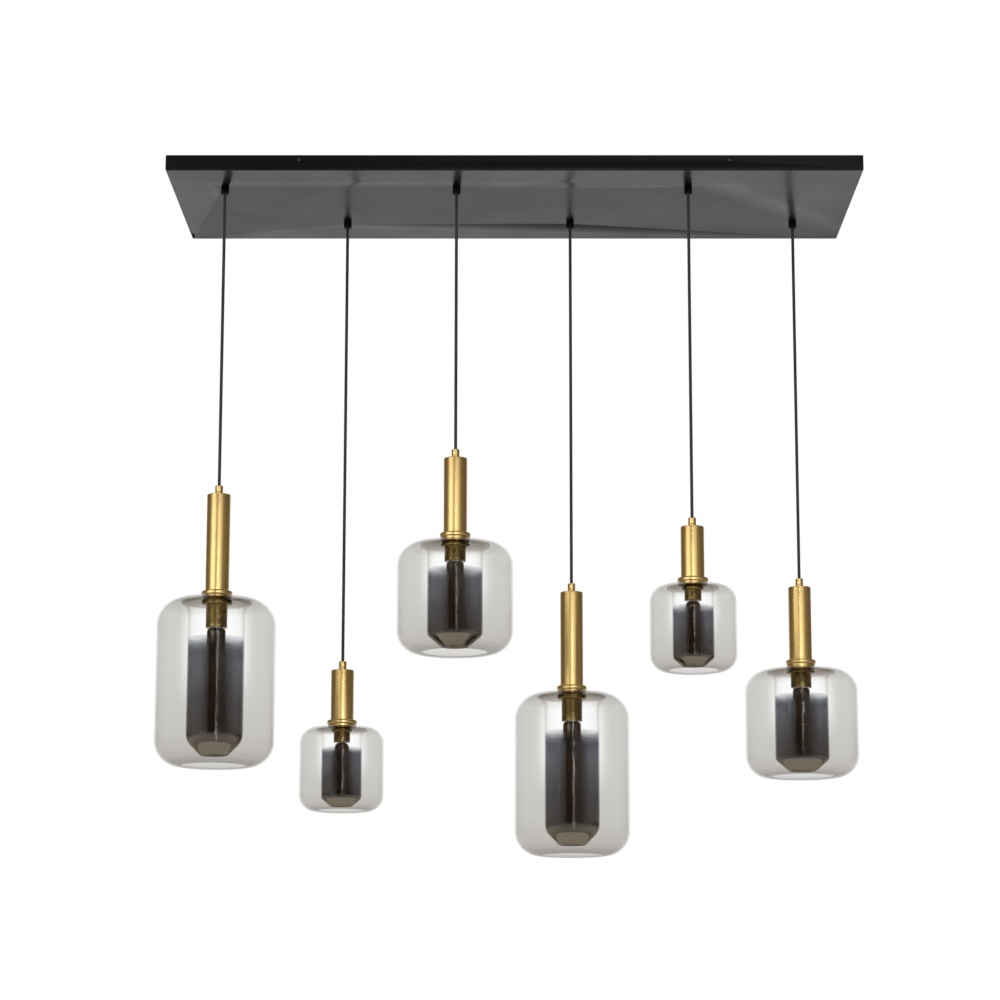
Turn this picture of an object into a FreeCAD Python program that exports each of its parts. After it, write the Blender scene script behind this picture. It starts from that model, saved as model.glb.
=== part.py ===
"""Cluster pendant: six double-glass shades hung from one rectangular ceiling pan.

Millimetres, +Z up. The origin is the middle of the ceiling plane, so everything hangs at -Z.
The six pendants stand in two rows, numbered 1 to 6 from the left, and come in three shade sizes.
Each pendant hangs in its own frame whose origin is the top of its brass tube.
"""

import FreeCAD
import Part
import Sketcher
import math
import os

SIZES = (
    # ceiling pan, folded from sheet steel and open towards the ceiling
    ("canopy_length", 1200),
    ("canopy_depth", 400),
    ("canopy_height", 27),
    ("canopy_gauge", 1.5),
    ("canopy_bend", 2.5),
    # where the cords leave the pan: six columns, alternately in the front and the back row
    ("cord_pitch", 203),
    ("row_offset", 100),
    # cross brackets that screw to the ceiling and carry the pan by its side screws
    ("bracket_offset", 370),
    ("bracket_width", 30),
    ("bracket_gauge", 2.5),
    ("bracket_bend", 4),
    ("bracket_lug", 17),
    ("bracket_gap", 0.3),
    ("fixing_offset", 100),
    ("fixing_hole", 5.5),
    ("side_screw_drop", 8),
    ("side_screw_diameter", 4),
    ("side_screw_length", 11),
    ("side_head_diameter", 8),
    ("side_head_height", 2.4),
    # clearances
    ("thread_gap", 0.1),
    ("hole_gap", 0.25),
    ("running_gap", 0.3),
    # cord grips and their nuts
    ("grip_diameter", 14),
    ("grip_height", 12),
    ("grip_edge", 1.2),
    ("grip_stem_diameter", 12),
    ("grip_stem_length", 10),
    ("grip_pivot_depth", 4.5),
    ("grip_mouth_diameter", 8.4),
    ("nut_width", 17),
    ("nut_height", 4),
    # terminal block
    ("block_length", 46),
    ("block_depth", 17),
    ("block_base", 5),
    ("pole_pitch", 14),
    ("pole_width", 10),
    ("pole_depth", 12),
    ("pole_height", 14),
    ("pole_wire_hole", 4.5),
    ("pole_wire_level", 7.5),
    ("pole_screw_hole", 4.2),
    ("pole_screw_depth", 6),
    ("block_fixing_hole", 3.2),
    # cord, gland and tube, the same on all six
    ("cord_diameter", 5.4),
    ("gland_diameter", 13.4),
    ("gland_height", 16),
    ("gland_edge", 0.8),
    ("gland_spigot_diameter", 10),
    ("gland_spigot_length", 6),
    ("tube_diameter", 40),
    ("tube_wall", 1.25),
    ("tube_cap", 2.5),
    ("tube_edge", 1),
    # collar between tube and glass
    ("collar_diameter", 52.5),
    ("collar_bead", 7.5),
    ("collar_edge", 1.8),
    ("collar_foot_diameter", 49),
    ("collar_recess", 2),
    # blown glass, the same on all six
    ("glass_wall", 2.5),
    ("mouth_edge", 0.5),
    ("glass_seat_radius", 27),
    ("neck_gap", 1),
    ("liner_wall", 2),
    ("ring_chamfer", 1.5),
    # lampholder
    ("holder_shank", 22),
    ("holder_plate", 4),
    ("holder_wall", 3),
    ("holder_wire_hole", 5),
    ("holder_edge", 1.2),
    # bulb
    ("bulb_wall", 1),
    ("bulb_seat_gap", 1.2),
    ("contact_gap", 0.8),
    ("bulb_contact_height", 3),
    # tube tops below the underside of the pan, one for each pendant
    ("drop_1", 549),
    ("drop_2", 825),
    ("drop_3", 485),
    ("drop_4", 685),
    ("drop_5", 605),
    ("drop_6", 676),
)

SHADE_SIZES = (
    # name, large, medium, small
    ("tube_length", 168, 131, 89),
    ("collar_height", 11, 15, 12),
    ("glass_diameter", 202, 198, 148),
    ("glass_height", 288, 192, 148),
    ("glass_crown", 180, 200, 140),
    ("glass_shoulder", 46, 38, 26),
    ("glass_hip", 43, 38, 28),
    ("glass_mouth", 112, 112, 86),
    ("liner_diameter", 96.5, 95, 71),
    ("liner_height", 270, 182, 140),
    ("liner_lip_diameter", 120, 119, 89),
    ("liner_lip_drop", 5.5, 4, 2.5),
    ("liner_flare", 30, 21, 15.5),
    ("bowl_slope", 45, 40, 40),
    ("bowl_corner", 30, 12, 10),
    ("bowl_hole", 43, 43, 35),
    ("ring_diameter", 51, 49, 37),
    ("ring_height", 8.5, 5, 4.5),
    ("holder_diameter", 36.5, 36.5, 29),
    ("holder_reach", 52, 34, 27),
    ("socket_diameter", 27, 27, 14.6),
    ("bulb_diameter", 32, 30, 25),
    ("bulb_reach", 244, 165, 127),
    ("bulb_cap_length", 26, 26, 21),
    ("bulb_neck_diameter", 22, 22, 10.5),
    ("bulb_contact_diameter", 12, 12, 7),
)
SHADES = ("large", "medium", "small")

# number, shade size, column in cord pitches from the middle, row (-1 is the front row)
PENDANTS = (
    (1, "large", -2.5, -1),
    (2, "small", -1.5, 1),
    (3, "medium", -0.5, -1),
    (4, "large", 0.5, 1),
    (5, "small", 1.5, -1),
    (6, "medium", 2.5, 1),
)

# how a sketch numbers its own axes and the points of a line or an arc
SKETCH_LEVEL_AXIS = -1
SKETCH_UPRIGHT_AXIS = -2
START_POINT = 1
END_POINT = 2
CENTRE_POINT = 3

# two heights nearer than this are the same height
SAME_HEIGHT = 0.001
POLES = 3

doc = FreeCAD.newDocument("cluster_pendant")


# ---------------------------------------------------------------- sizes and formulas

def make_sheet():
    """The driving dimensions, one row each: name, value."""
    sheet = doc.addObject("Spreadsheet::Sheet", "Sizes")
    rows = [(name, value) for name, value in SIZES]
    for name, *values in SHADE_SIZES:
        rows += [(f"{name}_{shade}", value) for shade, value in zip(SHADES, values)]
    for number, (name, value) in enumerate(rows, start=1):
        sheet.set(f"A{number}", name)
        sheet.set(f"B{number}", str(value))
        sheet.setAlias(f"B{number}", name)
    doc.recompute()


def derive(name, formula):
    """Adds one named formula and gives the text that refers to it."""
    derived.addProperty("App::PropertyFloat", name, "Shape")
    derived.setExpression(name, formula)
    derived.recompute()
    return f"Derived.{name}"


def reading(formula):
    """The present value of a formula, used to lay sketch geometry near its final place."""
    trial.setExpression("reading", formula)
    trial.recompute()
    return trial.reading


class Sizes:
    """Gives the formula text for a size: common sizes by name, shade sizes for one shade."""

    def __init__(self, shade=None):
        self.shade = shade

    def __getattr__(self, name):
        if self.shade and any(name == row[0] for row in SHADE_SIZES):
            return f"Sizes.{name}_{self.shade}"
        return f"Sizes.{name}"


# ---------------------------------------------------------------- bodies and sketches

def new_body(label):
    body = doc.addObject("PartDesign::Body", label)
    body.Label = label
    return body


def origin_feature(body, role):
    """One of the body's own origin planes or axes."""
    return next(item for item in body.Origin.OriginFeatures if item.Role == role)


def new_sketch(body, name, plane, level=None):
    """An empty sketch on an origin plane, raised above it by a formula where one is given."""
    sketch = body.newObject("Sketcher::SketchObject", f"{body.Name}_{name}")
    sketch.AttachmentSupport = [(origin_feature(body, plane), "")]
    sketch.MapMode = "FlatFace"
    if level:
        sketch.setExpression("AttachmentOffset.Base.z", level)
    return sketch


def hold(sketch, geometry, point, across, along):
    """Dimensions one point of a sketch from its origin with two formulas."""
    ways = (("DistanceX", SKETCH_UPRIGHT_AXIS, across), ("DistanceY", SKETCH_LEVEL_AXIS, along))
    for kind, axis, formula in ways:
        if formula == "0":
            sketch.addConstraint(Sketcher.Constraint("PointOnObject", geometry, point, axis))
            continue
        origin = (SKETCH_LEVEL_AXIS, START_POINT)
        value = reading(formula)
        distance = Sketcher.Constraint(kind, *origin, geometry, point, value)
        index = sketch.addConstraint(distance)
        sketch.setExpression(f"Constraints[{index}]", formula)


def dimension(sketch, kind, geometry, formula):
    """Dimensions an arc or a circle with a formula."""
    index = sketch.addConstraint(Sketcher.Constraint(kind, geometry, reading(formula)))
    sketch.setExpression(f"Constraints[{index}]", formula)


def arc_between(start, end, radius, turn):
    """The arc from start to end whose centre lies left of the way (turn 1) or right of it (turn -1)."""
    way = end - start
    half = way.Length / 2
    rise = math.sqrt(max(radius * radius - half * half, 0))
    left = FreeCAD.Vector(-way.y, way.x, 0).normalize()
    centre = (start + end) * 0.5 + left * (rise * turn)
    circle = Part.Circle(centre, FreeCAD.Vector(0, 0, 1), radius)
    first, last = (start, end) if turn > 0 else (end, start)
    angles = [math.atan2(p.y - centre.y, p.x - centre.x) for p in (first, last)]
    if angles[1] <= angles[0]:
        angles[1] += 2 * math.pi
    return Part.ArcOfCircle(circle, *angles)


def draw_outline(sketch, corners):
    """A closed outline. Each corner is (across, along) with a line on to the next corner, or
    (across, along, radius, turn) with an arc on to it."""
    places = [FreeCAD.Vector(reading(c[0]), reading(c[1]), 0) for c in corners]
    ends = []
    for start, end, corner in zip(places, places[1:] + places[:1], corners):
        if len(corner) == 2:
            geometry = sketch.addGeometry(Part.LineSegment(start, end), False)
            ends.append((geometry, START_POINT, END_POINT))
            continue
        radius, turn = corner[2:]
        geometry = sketch.addGeometry(arc_between(start, end, reading(radius), turn), False)
        dimension(sketch, "Radius", geometry, radius)
        way = (START_POINT, END_POINT) if turn > 0 else (END_POINT, START_POINT)
        ends.append((geometry, *way))
    for corner, this, following in zip(corners, ends, ends[1:] + ends[:1]):
        geometry, start_point, end_point = this
        joint = (geometry, end_point, following[0], following[1])
        sketch.addConstraint(Sketcher.Constraint("Coincident", *joint))
        hold(sketch, geometry, start_point, corner[0], corner[1])


def draw_circle(sketch, across, along, diameter):
    place = FreeCAD.Vector(reading(across), reading(along), 0)
    circle = Part.Circle(place, FreeCAD.Vector(0, 0, 1), reading(diameter) / 2)
    geometry = sketch.addGeometry(circle, False)
    hold(sketch, geometry, CENTRE_POINT, across, along)
    dimension(sketch, "Diameter", geometry, diameter)


def rectangle(width, depth):
    """Corners of a centred rectangle."""
    return (
        (f"-{width} / 2", f"-{depth} / 2"),
        (f"{width} / 2", f"-{depth} / 2"),
        (f"{width} / 2", f"{depth} / 2"),
        (f"-{width} / 2", f"{depth} / 2"),
    )


def turn_piece(label, corners):
    """A body turned about Z from a half section of (radius, height) corners."""
    body = new_body(label)
    sketch = new_sketch(body, "section", "XZ_Plane")
    draw_outline(sketch, corners)
    doc.recompute()
    turned = body.newObject("PartDesign::Revolution", f"{label}_turned")
    turned.Profile = sketch
    turned.ReferenceAxis = (sketch, ["V_Axis"])
    turned.Angle = 360
    body.Tip = turned
    doc.recompute()
    return body


def extrude(body, name, sketch, length, kind="Pad", reverse=False, middle=False):
    """A pad or a pocket of a sketch, to a length or through everything where none is given."""
    before = body.Shape.Volume if body.Tip else 0
    feature = body.newObject(f"PartDesign::{kind}", f"{body.Name}_{name}")
    feature.Profile = sketch
    feature.Reversed = reverse
    if middle:
        feature.Midplane = True
    if length:
        feature.setExpression("Length", length)
    else:
        feature.Type = "ThroughAll"
    body.Tip = feature
    doc.recompute()
    gained = body.Shape.Volume - before
    if gained == 0 or (gained > 0) != (kind == "Pad"):
        raise RuntimeError(f"{feature.Name} changed nothing")
    return feature


def place(item, across, along, height):
    """Binds an object's place to three formulas."""
    item.setExpression("Placement.Base.x", across)
    item.setExpression("Placement.Base.y", along)
    item.setExpression("Placement.Base.z", height)


def copies(label, master, places):
    """One sub-part that holds several placed copies of a master body."""
    links = []
    for number, (across, along, height, rotation) in enumerate(places, start=1):
        link = doc.addObject("App::Link", f"{label}_copy_{number}")
        link.LinkedObject = master
        link.Placement = FreeCAD.Placement(FreeCAD.Vector(), rotation)
        place(link, across, along, height)
        links.append(link)
    group = doc.addObject("Part::Compound", label)
    group.Label = label
    group.Links = links
    return group


# ---------------------------------------------------------------- ceiling pan and what it holds

def make_canopy_pan():
    """Folded tray: a rounded block, hollowed from the ceiling side, then drilled."""
    s = Sizes()
    body = new_body("canopy_pan")
    blank = new_sketch(body, "blank", "XY_Plane")
    draw_outline(blank, rectangle(s.canopy_length, s.canopy_depth))
    block = extrude(body, "block", blank, s.canopy_height, reverse=True)
    rounded = body.newObject("PartDesign::Fillet", "canopy_pan_folds")
    rounded.Base = (block, outside_folds(block.Shape))
    rounded.setExpression("Radius", s.canopy_bend)
    body.Tip = rounded
    doc.recompute()
    hollow = new_sketch(body, "hollow", "XY_Plane")
    length = f"({s.canopy_length} - 2 * {s.canopy_gauge})"
    depth = f"({s.canopy_depth} - 2 * {s.canopy_gauge})"
    draw_outline(hollow, rectangle(length, depth))
    extrude(body, "hollow_cut", hollow, f"{s.canopy_height} - {s.canopy_gauge}", "Pocket")
    outlets = new_sketch(body, "outlets", "XY_Plane")
    for _, _, column, row in PENDANTS:
        across = f"{s.cord_pitch} * {column}"
        along = f"{s.row_offset} * {row}"
        draw_circle(outlets, across, along, f"{s.grip_stem_diameter} + 2 * {s.hole_gap}")
    extrude(body, "outlet_holes", outlets, None, "Pocket")
    sides = new_sketch(body, "sides", "XZ_Plane")
    for side in (-1, 1):
        width = f"{s.side_screw_diameter} + 2 * {s.hole_gap}"
        draw_circle(sides, f"{s.bracket_offset} * {side}", f"-{s.side_screw_drop}", width)
    extrude(body, "side_holes", sides, None, "Pocket", middle=True)
    return body


def outside_folds(shape):
    """The names of a block's upright and bottom edges, which are folds on the tray."""
    top = shape.BoundBox.ZMax
    names = []
    for number, edge in enumerate(shape.Edges, start=1):
        on_top = all(abs(vertex.Z - top) < SAME_HEIGHT for vertex in edge.Vertexes)
        if not on_top:
            names.append(f"Edge{number}")
    return names


def make_ceiling_brackets():
    """A strip with both ends turned down: drawn from the side, padded, drilled, used twice."""
    s = Sizes()
    master = new_body("bracket")
    reach = derive(
        "bracket_reach",
        f"{s.canopy_depth} / 2 - {s.canopy_gauge} - {s.bracket_gap}",
    )
    inside_bend = f"({s.bracket_bend} - {s.bracket_gauge})"
    strip = new_sketch(master, "strip", "YZ_Plane")
    draw_outline(strip, (
        (f"{reach} - {s.bracket_bend}", "0", s.bracket_bend, -1),
        (reach, f"-{s.bracket_bend}"),
        (reach, f"-{s.bracket_lug}"),
        (f"{reach} - {s.bracket_gauge}", f"-{s.bracket_lug}"),
        (f"{reach} - {s.bracket_gauge}", f"-{s.bracket_bend}", inside_bend, 1),
        (f"{reach} - {s.bracket_bend}", f"-{s.bracket_gauge}"),
        (f"{s.bracket_bend} - {reach}", f"-{s.bracket_gauge}", inside_bend, 1),
        (f"{s.bracket_gauge} - {reach}", f"-{s.bracket_bend}"),
        (f"{s.bracket_gauge} - {reach}", f"-{s.bracket_lug}"),
        (f"-{reach}", f"-{s.bracket_lug}"),
        (f"-{reach}", f"-{s.bracket_bend}", s.bracket_bend, -1),
        (f"{s.bracket_bend} - {reach}", "0"),
    ))
    extrude(master, "bent", strip, s.bracket_width, middle=True)
    fixings = new_sketch(master, "fixings", "XY_Plane")
    for side in (-1, 1):
        draw_circle(fixings, "0", f"{s.fixing_offset} * {side}", s.fixing_hole)
    extrude(master, "fixing_holes", fixings, None, "Pocket")
    lugs = new_sketch(master, "lugs", "XZ_Plane")
    draw_circle(lugs, "0", f"-{s.side_screw_drop}", f"{s.side_screw_diameter} + 2 * {s.thread_gap}")
    extrude(master, "lug_holes", lugs, None, "Pocket", middle=True)
    upright = FreeCAD.Rotation()
    places = [(f"{s.bracket_offset} * {side}", "0", "0", upright) for side in (-1, 1)]
    return copies("ceiling_brackets", master, places)


def make_side_screws():
    """Domed screws through the long rims of the pan into the bracket lugs."""
    s = Sizes()
    shank = f"{s.side_screw_diameter} / 2"
    head = f"{s.side_head_diameter} / 2"
    dome = derive("side_head_dome", f"(({head})^2 + {s.side_head_height}^2) / (2 * {s.side_head_height})")
    master = turn_piece("side_screw", (
        ("0", f"-{s.side_screw_length}"),
        (shank, f"-{s.side_screw_length}"),
        (shank, "0"),
        (head, "0", dome, 1),
        ("0", s.side_head_height),
    ))
    across_x = FreeCAD.Vector(1, 0, 0)
    places = []
    for column in (-1, 1):
        for row in (-1, 1):
            places.append((
                f"{s.bracket_offset} * {column}",
                f"{s.canopy_depth} / 2 * {row}",
                f"-{s.side_screw_drop}",
                FreeCAD.Rotation(across_x, -90 * row),
            ))
    return copies("side_screws", master, places)


def cord_places(height):
    """One upright place for each cord, at a height."""
    s = Sizes()
    upright = FreeCAD.Rotation()
    return [
        (f"{s.cord_pitch} * {column}", f"{s.row_offset} * {row}", height, upright)
        for _, _, column, row in PENDANTS
    ]


def make_cord_grips():
    """Moulded grips: a stem up through the pan and a body below it with a belled mouth."""
    s = Sizes()
    bore = derive("grip_bore", f"{s.cord_diameter} / 2 + {s.running_gap}")
    body_radius = f"{s.grip_diameter} / 2"
    stem_radius = f"{s.grip_stem_diameter} / 2"
    stem_top = f"{s.canopy_gauge} + {s.grip_stem_length}"
    master = turn_piece("cord_grip", (
        (bore, stem_top),
        (bore, f"{s.grip_pivot_depth} - {s.grip_height}"),
        (f"{s.grip_mouth_diameter} / 2", f"-{s.grip_height}"),
        (f"{body_radius} - {s.grip_edge}", f"-{s.grip_height}"),
        (body_radius, f"{s.grip_edge} - {s.grip_height}"),
        (body_radius, "0"),
        (stem_radius, "0"),
        (stem_radius, stem_top),
    ))
    return copies("cord_grips", master, cord_places(f"-{s.canopy_height}"))


def make_grip_nuts():
    """Hexagon nuts on the grip stems, seated on the floor of the pan."""
    s = Sizes()
    master = new_body("grip_nut")
    sketch = new_sketch(master, "hexagon", "XY_Plane")
    corner = derive("nut_corner", f"{s.nut_width} / sqrt(3)")
    flat = f"{s.nut_width} / 2"
    draw_outline(sketch, (
        (corner, "0"),
        (f"{corner} / 2", flat),
        (f"-{corner} / 2", flat),
        (f"-{corner}", "0"),
        (f"-{corner} / 2", f"-{flat}"),
        (f"{corner} / 2", f"-{flat}"),
    ))
    extrude(master, "blank", sketch, s.nut_height)
    bore = new_sketch(master, "bore", "XY_Plane")
    draw_circle(bore, "0", "0", f"{s.grip_stem_diameter} + 2 * {s.thread_gap}")
    extrude(master, "thread", bore, None, "Pocket", reverse=True)
    return copies("grip_nuts", master, cord_places(f"{s.canopy_gauge} - {s.canopy_height}"))


def make_terminal_block():
    """A three-pole screw terminal on the floor of the pan: a base, then one pole in a row of three."""
    s = Sizes()
    body = new_body("terminal_block")
    base = new_sketch(body, "base", "XY_Plane")
    draw_outline(base, rectangle(s.block_length, s.block_depth))
    extrude(body, "foot", base, s.block_base)
    pole = new_sketch(body, "pole", "XY_Plane")
    near = f"-{s.pole_pitch} - {s.pole_width} / 2"
    far = f"{s.pole_width} / 2 - {s.pole_pitch}"
    draw_outline(pole, (
        (near, f"-{s.pole_depth} / 2"),
        (far, f"-{s.pole_depth} / 2"),
        (far, f"{s.pole_depth} / 2"),
        (near, f"{s.pole_depth} / 2"),
    ))
    tower = extrude(body, "tower", pole, s.pole_height)
    wires = new_sketch(body, "wires", "XZ_Plane")
    draw_circle(wires, f"-{s.pole_pitch}", s.pole_wire_level, s.pole_wire_hole)
    entry = extrude(body, "wire_entry", wires, None, "Pocket", middle=True)
    screws = new_sketch(body, "screws", "XY_Plane", s.pole_height)
    draw_circle(screws, f"-{s.pole_pitch}", "0", s.pole_screw_hole)
    well = extrude(body, "screw_well", screws, s.pole_screw_depth, "Pocket")
    row = body.newObject("PartDesign::LinearPattern", "terminal_block_poles")
    row.Originals = [tower, entry, well]
    row.Direction = (origin_feature(body, "X_Axis"), [""])
    row.Occurrences = POLES
    row.setExpression("Length", f"{POLES - 1} * {s.pole_pitch}")
    body.Tip = row
    doc.recompute()
    fixings = new_sketch(body, "fixings", "XY_Plane")
    for side in (-0.5, 0.5):
        draw_circle(fixings, f"{s.pole_pitch} * {side}", "0", s.block_fixing_hole)
    extrude(body, "fixing_holes", fixings, None, "Pocket", reverse=True)
    place(body, "0", "0", f"{s.canopy_gauge} - {s.canopy_height}")
    return body


# ---------------------------------------------------------------- one pendant

def make_cord(number, s):
    """Round cord from the pivot inside its grip to the end of the gland, with a rounded head."""
    radius = f"{s.cord_diameter} / 2"
    end = f"({s.grip_height} - {s.grip_pivot_depth} - Sizes.drop_{number} - {s.gland_spigot_length})"
    return turn_piece(f"cord_{number}", (
        ("0", radius, radius, -1),
        (radius, "0"),
        (radius, end),
        ("0", end),
    ))


def make_gland(number, s):
    """Brass gland on the tube's cap, with a threaded spigot through it."""
    bore = f"{s.cord_diameter} / 2 + {s.running_gap}"
    outside = f"{s.gland_diameter} / 2"
    spigot = f"{s.gland_spigot_diameter} / 2"
    return turn_piece(f"cord_gland_{number}", (
        (bore, s.gland_height),
        (bore, f"-{s.gland_spigot_length}"),
        (spigot, f"-{s.gland_spigot_length}"),
        (spigot, "0"),
        (outside, "0"),
        (outside, f"{s.gland_height} - {s.gland_edge}"),
        (f"{outside} - {s.gland_edge}", s.gland_height),
    ))


def make_tube(number, s):
    """Brass tube closed by a flat cap, whose open end stands in the recess of the collar."""
    outside = f"{s.tube_diameter} / 2"
    inside = f"({s.tube_diameter} / 2 - {s.tube_wall})"
    hole = f"{s.gland_spigot_diameter} / 2 + {s.thread_gap}"
    end = f"-({s.tube_length} + {s.collar_recess})"
    return turn_piece(f"tube_{number}", (
        (hole, f"-{s.tube_cap}"),
        (inside, f"-{s.tube_cap}"),
        (inside, end),
        (outside, end),
        (outside, f"-{s.tube_edge}"),
        (f"{outside} - {s.tube_edge}", "0"),
        (hole, "0"),
    ))


def make_collar(number, s):
    """Brass collar: a rounded bead round the tube and a narrower foot on the glass."""
    top = f"-{s.tube_length}"
    bead_end = f"-({s.tube_length} + {s.collar_bead})"
    foot_end = f"-({s.tube_length} + {s.collar_height})"
    recess = f"-({s.tube_length} + {s.collar_recess})"
    bore = f"{s.holder_diameter} / 2 + {s.thread_gap}"
    seat = f"{s.tube_diameter} / 2 + {s.thread_gap}"
    bead = f"{s.collar_diameter} / 2"
    foot = f"{s.collar_foot_diameter} / 2"
    return turn_piece(f"collar_{number}", (
        (bore, recess),
        (bore, foot_end),
        (foot, foot_end),
        (foot, bead_end),
        (f"{bead} - {s.collar_edge}", bead_end),
        (bead, f"{bead_end} + {s.collar_edge}"),
        (bead, f"{top} - {s.collar_edge}"),
        (f"{bead} - {s.collar_edge}", top),
        (seat, top),
        (seat, recess),
    ))


def make_outer_glass(number, s, f):
    """Blown shade: flat seat, shallow crown, shoulder, straight wall, hip and turned-in mouth,
    every stretch tangent to the next and every inside stretch one wall inside it."""
    zero = f.glass_top
    bottom = f"{zero} - {s.glass_height}"
    outer = f"{s.glass_diameter} / 2"
    wall = s.glass_wall
    seat = s.glass_seat_radius
    mouth = f"{s.glass_mouth} / 2"
    crown_in = f"({s.glass_crown} - {wall})"
    shoulder_in = f"({s.glass_shoulder} - {wall})"
    hip_in = f"({s.glass_hip} - {wall})"
    shoulder_level = f"{zero} - {f.shoulder_drop}"
    crown_level = f"{zero} - {s.glass_crown}"
    hip_level = f"{bottom} + {s.glass_hip}"
    crown_end = (f"{seat} + {s.glass_crown} * {f.lean}", f"{crown_level} + {s.glass_crown} * {f.rise}")
    crown_end_in = (f"{seat} + {crown_in} * {f.lean}", f"{crown_level} + {crown_in} * {f.rise}")
    return turn_piece(f"outer_glass_{number}", (
        (f.neck, zero),
        (f.neck, f"{zero} - {wall}"),
        (seat, f"{zero} - {wall}", crown_in, -1),
        (*crown_end_in, shoulder_in, -1),
        (f"{outer} - {wall}", shoulder_level),
        (f"{outer} - {wall}", hip_level, hip_in, -1),
        (f"{outer} - {s.glass_hip}", f"{bottom} + {wall}"),
        (f"{mouth} + {s.mouth_edge}", f"{bottom} + {wall}"),
        (mouth, f"{bottom} + {wall} - {s.mouth_edge}"),
        (mouth, f"{bottom} + {s.mouth_edge}"),
        (f"{mouth} + {s.mouth_edge}", bottom),
        (f"{outer} - {s.glass_hip}", bottom, s.glass_hip, 1),
        (outer, hip_level),
        (outer, shoulder_level, s.glass_shoulder, 1),
        (*crown_end, s.glass_crown, 1),
        (seat, zero),
    ))


def make_inner_glass(number, s, f):
    """Mirrored liner: a flange under the shade's seat that dips to a lip, a trumpet curve down to
    the straight tube, and a rounded corner into a cone with an open hole."""
    top = f"{f.glass_top} - {s.glass_wall}"
    wall = s.liner_wall
    seat = s.glass_seat_radius
    tube = f"{s.liner_diameter} / 2"
    lip = f"{s.liner_lip_diameter} / 2"
    hole = f"{s.bowl_hole} / 2"
    flare_level = f"{f.glass_top} - {s.liner_flare}"
    bottom = f"{f.glass_top} - {s.liner_height}"
    corner_in = f"({s.bowl_corner} - {wall})"
    corner_centre = f"({tube} - {s.bowl_corner})"
    lean = f"sin({s.bowl_slope} * 1 deg)"
    fall = f"cos({s.bowl_slope} * 1 deg)"
    return turn_piece(f"inner_glass_{number}", (
        (f.neck, top),
        (f.neck, f"{top} - {wall}"),
        (seat, f"{top} - {wall}"),
        (f"{seat} + {f.throat_run}", f"{top} - {wall} - {f.throat_run} * {f.dip}",
         f"{f.flare} + {wall}", 1),
        (f"{tube} - {wall}", flare_level),
        (f"{tube} - {wall}", f.bowl_level, corner_in, -1),
        (f"{corner_centre} + {corner_in} * {lean}", f"{f.bowl_level} - {corner_in} * {fall}"),
        (hole, f"{bottom} + {wall} * {fall}"),
        (hole, bottom),
        (f"{hole} + {wall} * {lean}", bottom),
        (f"{corner_centre} + {s.bowl_corner} * {lean}",
         f"{f.bowl_level} - {s.bowl_corner} * {fall}", s.bowl_corner, 1),
        (tube, f.bowl_level),
        (tube, flare_level, f.flare, -1),
        (lip, f"{f.lip_level} - {wall}"),
        (lip, f.lip_level),
        (seat, top),
    ))


def make_shade_ring(number, s, f):
    """Brass ring on the lampholder's thread that clamps both glasses against the collar."""
    top = f"{f.glass_top} - {s.glass_wall} - {s.liner_wall}"
    bottom = f"{top} - {s.ring_height}"
    bore = f"{s.holder_diameter} / 2 + {s.thread_gap}"
    rim = f"{s.ring_diameter} / 2"
    return turn_piece(f"shade_ring_{number}", (
        (bore, top),
        (bore, bottom),
        (f"{rim} - {s.ring_chamfer}", bottom),
        (rim, f"{bottom} + {s.ring_chamfer}"),
        (rim, top),
    ))


def make_lampholder(number, s, f):
    """Lampholder: a threaded skirt from inside the tube down through collar, glasses and ring, with
    the socket for the bulb below its contact plate and an open wiring chamber above it."""
    skirt = f"{s.holder_diameter} / 2"
    socket = f"{s.socket_diameter} / 2"
    chamber = f"{skirt} - {s.holder_wall}"
    wire = f"{s.holder_wire_hole} / 2"
    top = f"{s.holder_shank} - {s.tube_length}"
    bottom = f"{f.glass_top} - {s.holder_reach}"
    roof = f"{bottom} + {s.bulb_cap_length} - {s.bulb_seat_gap} + {s.contact_gap}"
    return turn_piece(f"lampholder_{number}", (
        (wire, f"{roof} + {s.holder_plate}"),
        (wire, roof),
        (socket, roof),
        (socket, bottom),
        (skirt, bottom),
        (skirt, f"{top} - {s.holder_edge}"),
        (f"{skirt} - {s.holder_edge}", top),
        (chamber, top),
        (chamber, f"{roof} + {s.holder_plate}"),
    ))


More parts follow.
